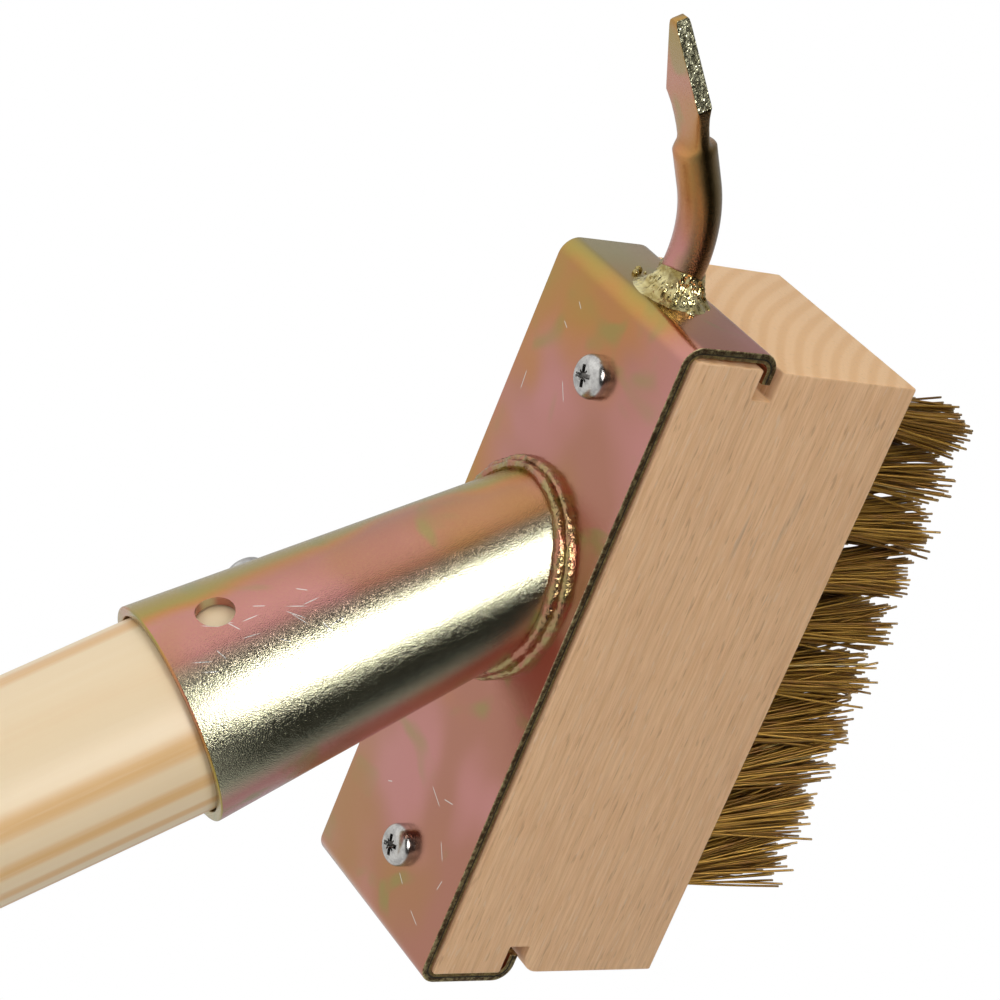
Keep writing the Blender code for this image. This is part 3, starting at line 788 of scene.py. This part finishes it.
def build_hook(face, torn):
    """Bent rod whose end is forged flat, then sheared on both sides to a narrow tip."""
    flange = END_OUTER + FRONT_OPENING
    start = Vector((flange - 0.5 * MM, 0, HOOK_ROOT_Z))
    bend_start = Vector((flange + GAP + HOOK_STRAIGHT, 0, HOOK_ROOT_Z))
    bend_centre = bend_start + Vector((0, 0, HOOK_BEND_RADIUS))
    rings = [hook_section(start, 0, ROD_RADIUS, ROD_RADIUS, 1)]
    bend_steps = 24
    for step in range(bend_steps + 1):
        slope = HOOK_BEND_ANGLE * step / bend_steps
        offset = Vector((sin(slope), 0, -cos(slope))) * HOOK_BEND_RADIUS
        rings.append(hook_section(bend_centre + offset, slope, ROD_RADIUS, ROD_RADIUS, 1))
    way = Vector((cos(HOOK_BEND_ANGLE), 0, sin(HOOK_BEND_ANGLE)))
    neck = bend_centre + offset + way * HOOK_NECK
    # share of the blade's length, half width and half thickness in mm, corner
    stations = (
        (-0.06, 3.0, 3.0, 1.0),
        (-0.01, 3.0, 2.95, 0.95),
        (0.01, 2.96, 2.5, 0.9),
        (0.03, 2.92, 1.8, 0.8),
        (0.06, 2.94, 1.45, 0.7),
        (0.12, 3.02, 1.3, 0.6),
        (0.20, 3.25, 1.2, 0.5),
        (0.28, 3.6, 1.15, 0.4),
        (0.35, 3.92, 1.12, 0.2),
        (0.38, 4.0, 1.12, 0.07),
        (0.41, 3.88, 1.12, 0.07),
        (0.60, 2.86, 1.12, 0.07),
        (0.80, 1.80, 1.12, 0.07),
        (0.955, 0.98, 1.10, 0.08),
        (0.99, 0.80, 1.02, 0.12),
        (1.0, 0.62, 0.86, 0.2),
    )
    widest = max(half_width for _, half_width, _, _ in stations)
    for share, half_width, half_thickness, corner in stations:
        if half_width == widest:
            sheared_from = len(rings)
        place = neck + way * BLADE_LENGTH * share
        rings.append(hook_section(place, HOOK_BEND_ANGLE, half_width * MM, half_thickness * MM, corner))

    def slots_of(row):
        """The torn metal is on the two sides, from the widest station to the tip."""
        if row < sheared_from:
            return [0] * HOOK_SIDES
        turns = [2 * pi * (side + 1) / HOOK_SIDES for side in range(HOOK_SIDES)]
        return [1 if abs(cos(turn)) > 0.8 else 0 for turn in turns]

    mesh = bmesh.new()
    skin(mesh, rings, slots_of)
    piece("hook_rod_and_blade", mesh, [face, torn], "scraper_hook", smooth_angle=50)


def build_hook_weld(metal):
    """A steep lumpy skirt of weld round the hook's foot, with a few drops of spatter round it."""
    turns = 180
    levels = 26
    skirt_reach, collar_radius, least_radius = 5.8, 3.25, 3.15
    skirt_height = 4.3 * MM
    foot = END_OUTER + FRONT_OPENING * 0.5 - 0.2 * MM
    rings = []
    for level in range(levels + 1):
        share = level / levels
        spread = (1 - share) ** 3.2
        flare = skirt_reach * spread + collar_radius * (1 - spread)
        ring = []
        for turn in range(turns):
            angle = 2 * pi * turn / turns
            runs = noise.noise(Vector((cos(angle) * 2.6, sin(angle) * 2.6, share * 1.3 + 4)))
            grit = noise.noise(Vector((cos(angle) * 9, sin(angle) * 9, share * 7)))
            swell = sin(pi * share) * (0.7 * runs + 0.45 * grit) + 0.45 * runs * (1 - share)
            radius = max(flare + swell, least_radius) * MM
            uneven = 1 + 0.18 * noise.noise(Vector((cos(angle), sin(angle), 7)))
            height = skirt_height * share * uneven
            ring.append(Vector((foot + height, radius * cos(angle), HOOK_ROOT_Z + radius * sin(angle))))
        rings.append(ring)
    mesh = bmesh.new()
    skin(mesh, rings)
    random.seed(11)
    for _ in range(9):
        angle = random.uniform(0, 2 * pi)
        reach = random.uniform(5.6, 7.2) * MM
        size = random.uniform(0.25, 0.6) * MM
        up = min(-3.6 * MM, HOOK_ROOT_Z + reach * sin(angle) * 0.7)
        place = Matrix.Translation((foot + size * 0.5, reach * cos(angle), up))
        bmesh.ops.create_icosphere(mesh, subdivisions=2, radius=size, matrix=place)
    piece("hook_bead", mesh, [metal], "scraper_weld", smooth_angle=60)


# ---------------------------------------------------------------- block, screws and wires


def build_block(wood):
    """The planed block with its two lip grooves, and a blind hole for each tuft."""
    half = (block_high.x - block_low.x) / 2
    floor = half - GROOVE_DEPTH
    outline = [
        (half, block_low.z),
        (half, GROOVE_BOTTOM),
        (floor, GROOVE_BOTTOM),
        (floor, GROOVE_TOP),
        (half, GROOVE_TOP),
        (half, block_high.z),
        (-half, block_high.z),
        (-half, GROOVE_TOP),
        (-floor, GROOVE_TOP),
        (-floor, GROOVE_BOTTOM),
    ]
    for step in range(9):
        turn = pi / 2 * step / 8
        z = GROOVE_BOTTOM - GROOVE_MOUTH_ROUND * (1 - cos(turn))
        outline.append((-half + GROOVE_MOUTH_ROUND * (1 - sin(turn)), z))
    outline.append((-half, block_low.z))
    mesh = bmesh.new()
    near = [mesh.verts.new((x, block_low.y, z)) for x, z in outline]
    far = [mesh.verts.new((x, block_high.y, z)) for x, z in outline]
    mesh.faces.new(near)
    mesh.faces.new(reversed(far))
    for here in range(len(near)):
        after = (here + 1) % len(near)
        mesh.faces.new((near[here], far[here], far[after], near[after]))
    block = piece("beech_block", mesh, [wood], "brush_block")
    soften(block, 0.35 * MM, 30)
    holes = bmesh.new()
    for _, _, x, y in tuft_places():
        shift = Vector((x, y, 0))
        rings = []
        for level in (-5 * MM, TUFT_HOLE_DEPTH):
            circle = ring_of(TUFT_ROOT_RADIUS + GAP, BLOCK_BOTTOM + level, 24)
            rings.append([point + shift for point in circle])
        skin(holes, rings)
    apply_cuts(block, [add_object("tuft_holes", holes)])


def build_screw(name, node, place, steel):
    """A pan-head screw with a cross recess, on a short stretch of its shank."""
    shoulder = 0.35
    crown = 0.42
    dome_steps = 10
    profile = [(SHANK_RADIUS, -10 * MM), (SHANK_RADIUS, -0.2 * MM), (HEAD_RADIUS, -0.2 * MM)]
    profile.append((HEAD_RADIUS, shoulder * HEAD_HEIGHT))
    for step in range(1, dome_steps + 1):
        turn = pi / 2 * step / dome_steps
        radius = HEAD_RADIUS * (crown + (1 - crown) * cos(turn))
        profile.append((radius, HEAD_HEIGHT * (shoulder + (1 - shoulder) * sin(turn))))
    mesh = bmesh.new()
    skin(mesh, [ring_of(radius, height, 72) for radius, height in profile])
    screw = piece(name, mesh, [steel], node, place)
    slots = []
    # turn, then half width, reach and depth in mm: the cross, and four smaller slots between its arms
    for turn, half_width, reach, depth in (
        (RECESS_TURN, 0.36, 1.75, 1.5),
        (RECESS_TURN + pi / 2, 0.36, 1.75, 1.5),
        (RECESS_TURN + pi / 4, 0.16, 1.25, 0.9),
        (RECESS_TURN - pi / 4, 0.16, 1.25, 0.9),
    ):
        tool = bmesh.new()
        bmesh.ops.create_cube(tool, size=1)
        for vertex in tool.verts:
            taper = 1.0 if vertex.co.z > 0 else 0.45
            vertex.co.x *= 2 * reach * MM * taper
            vertex.co.y *= 2 * half_width * MM * (0.5 + 0.5 * taper)
            vertex.co.z = HEAD_HEIGHT + (0.3 * MM if vertex.co.z > 0 else -depth * MM)
        slots.append(add_object("recess", tool, place @ Matrix.Rotation(turn, 4, "Z")))
    apply_cuts(screw, slots)


def tuft_places():
    """(row, number, x, y) of every tuft, in rows staggered by half a pitch."""
    for row in range(TUFT_ROWS):
        stagger = TUFT_PITCH / 4 * (1 if row % 2 == 0 else -1)
        y = BLOCK_MIDDLE_Y + ROW_PITCH * (row - (TUFT_ROWS - 1) / 2)
        for number in range(TUFTS_IN_ROW):
            x = TUFT_SHIFT_X + stagger + TUFT_PITCH * (number - (TUFTS_IN_ROW - 1) / 2)
            yield row, number, x, y


def wire_length(x):
    """Bare length of the wires, shorter towards the hook."""
    change = HOOK_END_WEAR if x > 0 else FAR_END_GAIN
    return WIRE_LENGTH - change * x / BLOCK_HALF_LENGTH


def wire_path(root, length, fan_x, fan_y, curl_x, curl_y):
    """Points along a wire from its root down to its tip. It fans out only below the block."""
    points = []
    for step in range(WIRE_STEPS + 1):
        share = step / WIRE_STEPS
        drop = (length + WIRE_ROOT) * share
        free = max(0.0, drop - WIRE_ROOT)
        bow = sin(pi * share)
        aside_x = free * tan(fan_x) + curl_x * bow
        aside_y = free * tan(fan_y) + curl_y * bow
        points.append(root + Vector((aside_x, aside_y, -drop)))
    return points


def build_tufts(metal):
    """Each tuft is a bundle of separate slightly bent wires that fans out towards its cut tips."""
    random.seed(7)
    section = ring_of(WIRE_RADIUS, 0, WIRE_SIDES)
    for row, number, x, y in tuft_places():
        mesh = bmesh.new()
        shade_layer = mesh.verts.layers.float.new("wire_shade")
        tip_layer = mesh.verts.layers.float.new("wire_tip")
        base_lean = FAR_END_LEAN * (0.5 - x / (2 * BLOCK_HALF_LENGTH)) + radians(random.uniform(-4, 4))
        tuft_extra = random.uniform(-0.5, 0.5) * MM
        for _ in range(WIRES_IN_TUFT):
            reach = TUFT_ROOT_RADIUS * sqrt(random.random())
            spin = random.uniform(0, 2 * pi)
            root = Vector((x + reach * cos(spin), y + reach * sin(spin), BLOCK_BOTTOM + WIRE_ROOT))
            outward = reach / TUFT_ROOT_RADIUS
            fan_x = base_lean + radians(random.gauss(0, 2.4)) + radians(5.5) * cos(spin) * outward
            fan_y = radians(random.gauss(0, 3)) + radians(7) * sin(spin) * outward
            length = wire_length(x) + tuft_extra + random.gauss(0, 0.28) * MM
            astray = random.random() < 0.04
            if astray:
                length += random.uniform(0.5, 1.6) * MM
                fan_x += radians(random.gauss(0, 8))
            furthest = (NEAR_ROW_REACH if row == 0 else FAR_ROWS_REACH) - random.uniform(0, 2) * MM
            fan_x = min(fan_x, atan2(furthest - root.x, length))
            if row == TUFT_ROWS - 1:
                fan_y = min(fan_y, LAST_ROW_FAN)
            curl_x = random.gauss(0, 0.25) * MM
            curl_y = random.gauss(0, 0.25) * MM
            shade_of_wire = random.random()
            path = wire_path(root, length, fan_x, fan_y, curl_x, curl_y)
            made = skin(mesh, [[middle + point for point in section] for middle in path])
            for step, ring in enumerate(made):
                for vertex in ring:
                    vertex[shade_layer] = shade_of_wire
                    vertex[tip_layer] = step / WIRE_STEPS
        label = f"{row + 1}_{number + 1:02d}"
        piece(f"wires_{label}", mesh, [metal], f"tuft_{label}", smooth_angle=70)


# ---------------------------------------------------------------- stage


def build_floor():
    """A plain pale floor well below the tool, which hangs clear of it. It sheds no light on the tool."""
    lowest = cad_bounds[0][2]
    bpy.ops.mesh.primitive_plane_add(size=30, location=(0, 0, lowest - 0.35))
    floor = bpy.context.active_object
    floor.name = "floor"
    pale = bpy.data.materials.new("pale_floor")
    pale.use_nodes = True
    nodes = pale.node_tree.nodes
    nodes.remove(nodes["Principled BSDF"])
    glow = nodes.new("ShaderNodeEmission")
    glow.inputs["Color"].default_value = (1, 1, 1, 1)
    glow.inputs["Strength"].default_value = 1.0
    pale.node_tree.links.new(glow.outputs[0], nodes["Material Output"].inputs[0])
    floor.data.materials.append(pale)
    floor.visible_glossy = False
    floor.visible_diffuse = False


TENT_BELOW = 0.48
TENT_ABOVE = 0.84
KEY_LEVEL = 1.15
DARK_LEVEL = 0.03
SOFTBOX_LEVEL = 10.0
BACKDROP_LEVEL = 1.0


def build_studio():
    """A white tent with a soft key light, a bright softbox in a dark surround, and a dark flag below."""
    world = bpy.data.worlds.new("studio")
    world.use_nodes = True
    bpy.context.scene.world = world
    tree = world.node_tree
    background = tree.nodes["Background"]

    def link(source, target):
        tree.links.new(source, target)

    def towards(azimuth, elevation):
        """How closely a direction points at this azimuth and elevation, as a cosine."""
        way = (cos(azimuth) * cos(elevation), sin(azimuth) * cos(elevation), sin(elevation))
        dot = tree.nodes.new("ShaderNodeVectorMath")
        dot.operation = "DOT_PRODUCT"
        link(direction, dot.inputs[0])
        dot.inputs[1].default_value = way
        return dot.outputs["Value"]

    def ramp(value, low, high):
        made = tree.nodes.new("ShaderNodeMapRange")
        made.interpolation_type = "SMOOTHSTEP"
        link(value, made.inputs["Value"])
        made.inputs["From Min"].default_value = low
        made.inputs["From Max"].default_value = high
        return made.outputs["Result"]

    def blend(amount, first, second):
        made = tree.nodes.new("ShaderNodeMix")
        link(amount, made.inputs[0])
        for socket, value in ((made.inputs[2], first), (made.inputs[3], second)):
            if isinstance(value, float):
                socket.default_value = value
            else:
                link(value, socket)
        return made.outputs[0]

    def disc(level, centre, outer, inner, strength):
        """The level, blended to this strength between an outer and an inner angle from a centre."""
        return blend(ramp(centre, cos(radians(outer)), cos(radians(inner))), level, strength)

    direction = tree.nodes.new("ShaderNodeTexCoord").outputs["Generated"]
    softbox = towards(radians(-55), radians(-3))
    key = towards(radians(20), radians(35))
    low_flag = towards(radians(-105), radians(-36))
    above = tree.nodes.new("ShaderNodeSeparateXYZ")
    link(direction, above.inputs[0])
    level = blend(ramp(above.outputs["Z"], -0.75, -0.1), TENT_BELOW, TENT_ABOVE)
    level = blend(ramp(key, 0.3, 0.95), level, KEY_LEVEL)
    level = disc(level, softbox, 54, 42, DARK_LEVEL)
    level = disc(level, low_flag, 36, 26, DARK_LEVEL)
    level = disc(level, softbox, 18, 14, SOFTBOX_LEVEL)
    seen = tree.nodes.new("ShaderNodeLightPath").outputs["Is Camera Ray"]
    level = blend(seen, level, BACKDROP_LEVEL)
    link(level, background.inputs["Strength"])
    background.inputs["Color"].default_value = (1, 1, 1, 1)


def build_camera():
    """At the photograph's viewing angle, and rolled as it is."""
    data = bpy.data.cameras.new("view")
    data.lens = 115.37
    data.sensor_width = 36
    camera = bpy.data.objects.new("view", data)
    bpy.context.scene.collection.objects.link(camera)
    camera.location = (0.182085, -0.311012, 0.268607)
    camera.rotation_euler = (radians(6.548), radians(52.987), radians(-54.056))
    bpy.context.scene.camera = camera


def main():
    bpy.context.scene.view_settings.view_transform = "Standard"
    build_camera()
    build_studio()
    build_floor()
    build_bracket(
        zinc(
            "zinc_bracket",
            1.0,
            turned=(0.15, 0.2, 0),
            spread=(2, 12, 6),
            marks=scratches_on_plate(14, 31),
            grit=0.02 * MM,
        ),
        cut_edge("edge_burnished", 2.0, 1.0, (0.16, 0.10, 0.05), (0.58, 0.48, 0.24)),
        # a thin line of painted shade across the cut edge
        shadow_line("edge_painted_shade_line", 3.0),
        cut_edge("edge_torn", 4.0, 0.45, (0.14, 0.085, 0.03), (0.30, 0.235, 0.085)),
    )
    build_socket(
        zinc(
            "zinc_socket",
            5.0,
            turned=(0, 1.2, 0),
            level=1.12,
            # pale green on the side where the softbox's highlight lies: the film's colour there and a painted
            # highlight
            highlight_side=(cos(radians(-66)), sin(radians(-66)), 0),
            marks=scratches_on_tube(22, 32),
        ),
        # the rim's film leans to orange: partly its own colour, partly a painted reflection of the wooden
        # pole in the rounded mouth
        zinc("zinc_rim", 6.0, level=0.7),
    )
    build_socket_weld(
        weld_metal("socket_weld_metal", 8.0, (0.40, 0.18, 0.12), (0.34, 0.26, 0.12), 1400, 0.22 * MM)
    )
    build_pole(pole_wood("pole_softwood", 9.0))
    build_hook(
        # the hook's faces turned this way get a painted dark reflection
        zinc("zinc_hook", 12.0, spread=(16, 0, 0), level=2.10, dark_reflection_side=(0.35, -0.93, 0)),
        sheared("blade_sheared", 13.0),
    )
    build_hook_weld(
        weld_metal("hook_weld_metal", 14.0, (0.34, 0.26, 0.09), (0.66, 0.58, 0.30), 700, 0.4 * MM)
    )
    build_block(beech("beech_wood", 15.0))
    steel = bright_steel("bright_steel", 16.0)
    front_seat = Matrix.Translation((*FRONT_SCREW, SCREW_SEAT))
    rear_seat = Matrix.Translation((*REAR_SCREW, SCREW_SEAT))
    along, angle = POLE_SCREW
    pole_seat = across_socket(along, angle) @ Matrix.Translation((0, 0, socket_radius(along) + SCREW_SEAT))
    build_screw("front_screw_head", "front_block_screw", front_seat, steel)
    build_screw("rear_screw_head", "rear_block_screw", rear_seat, steel)
    build_screw("pole_screw_head", "pole_screw", pole_seat, steel)
    build_tufts(wire_metal("brassed_wire", 17.0))


main()
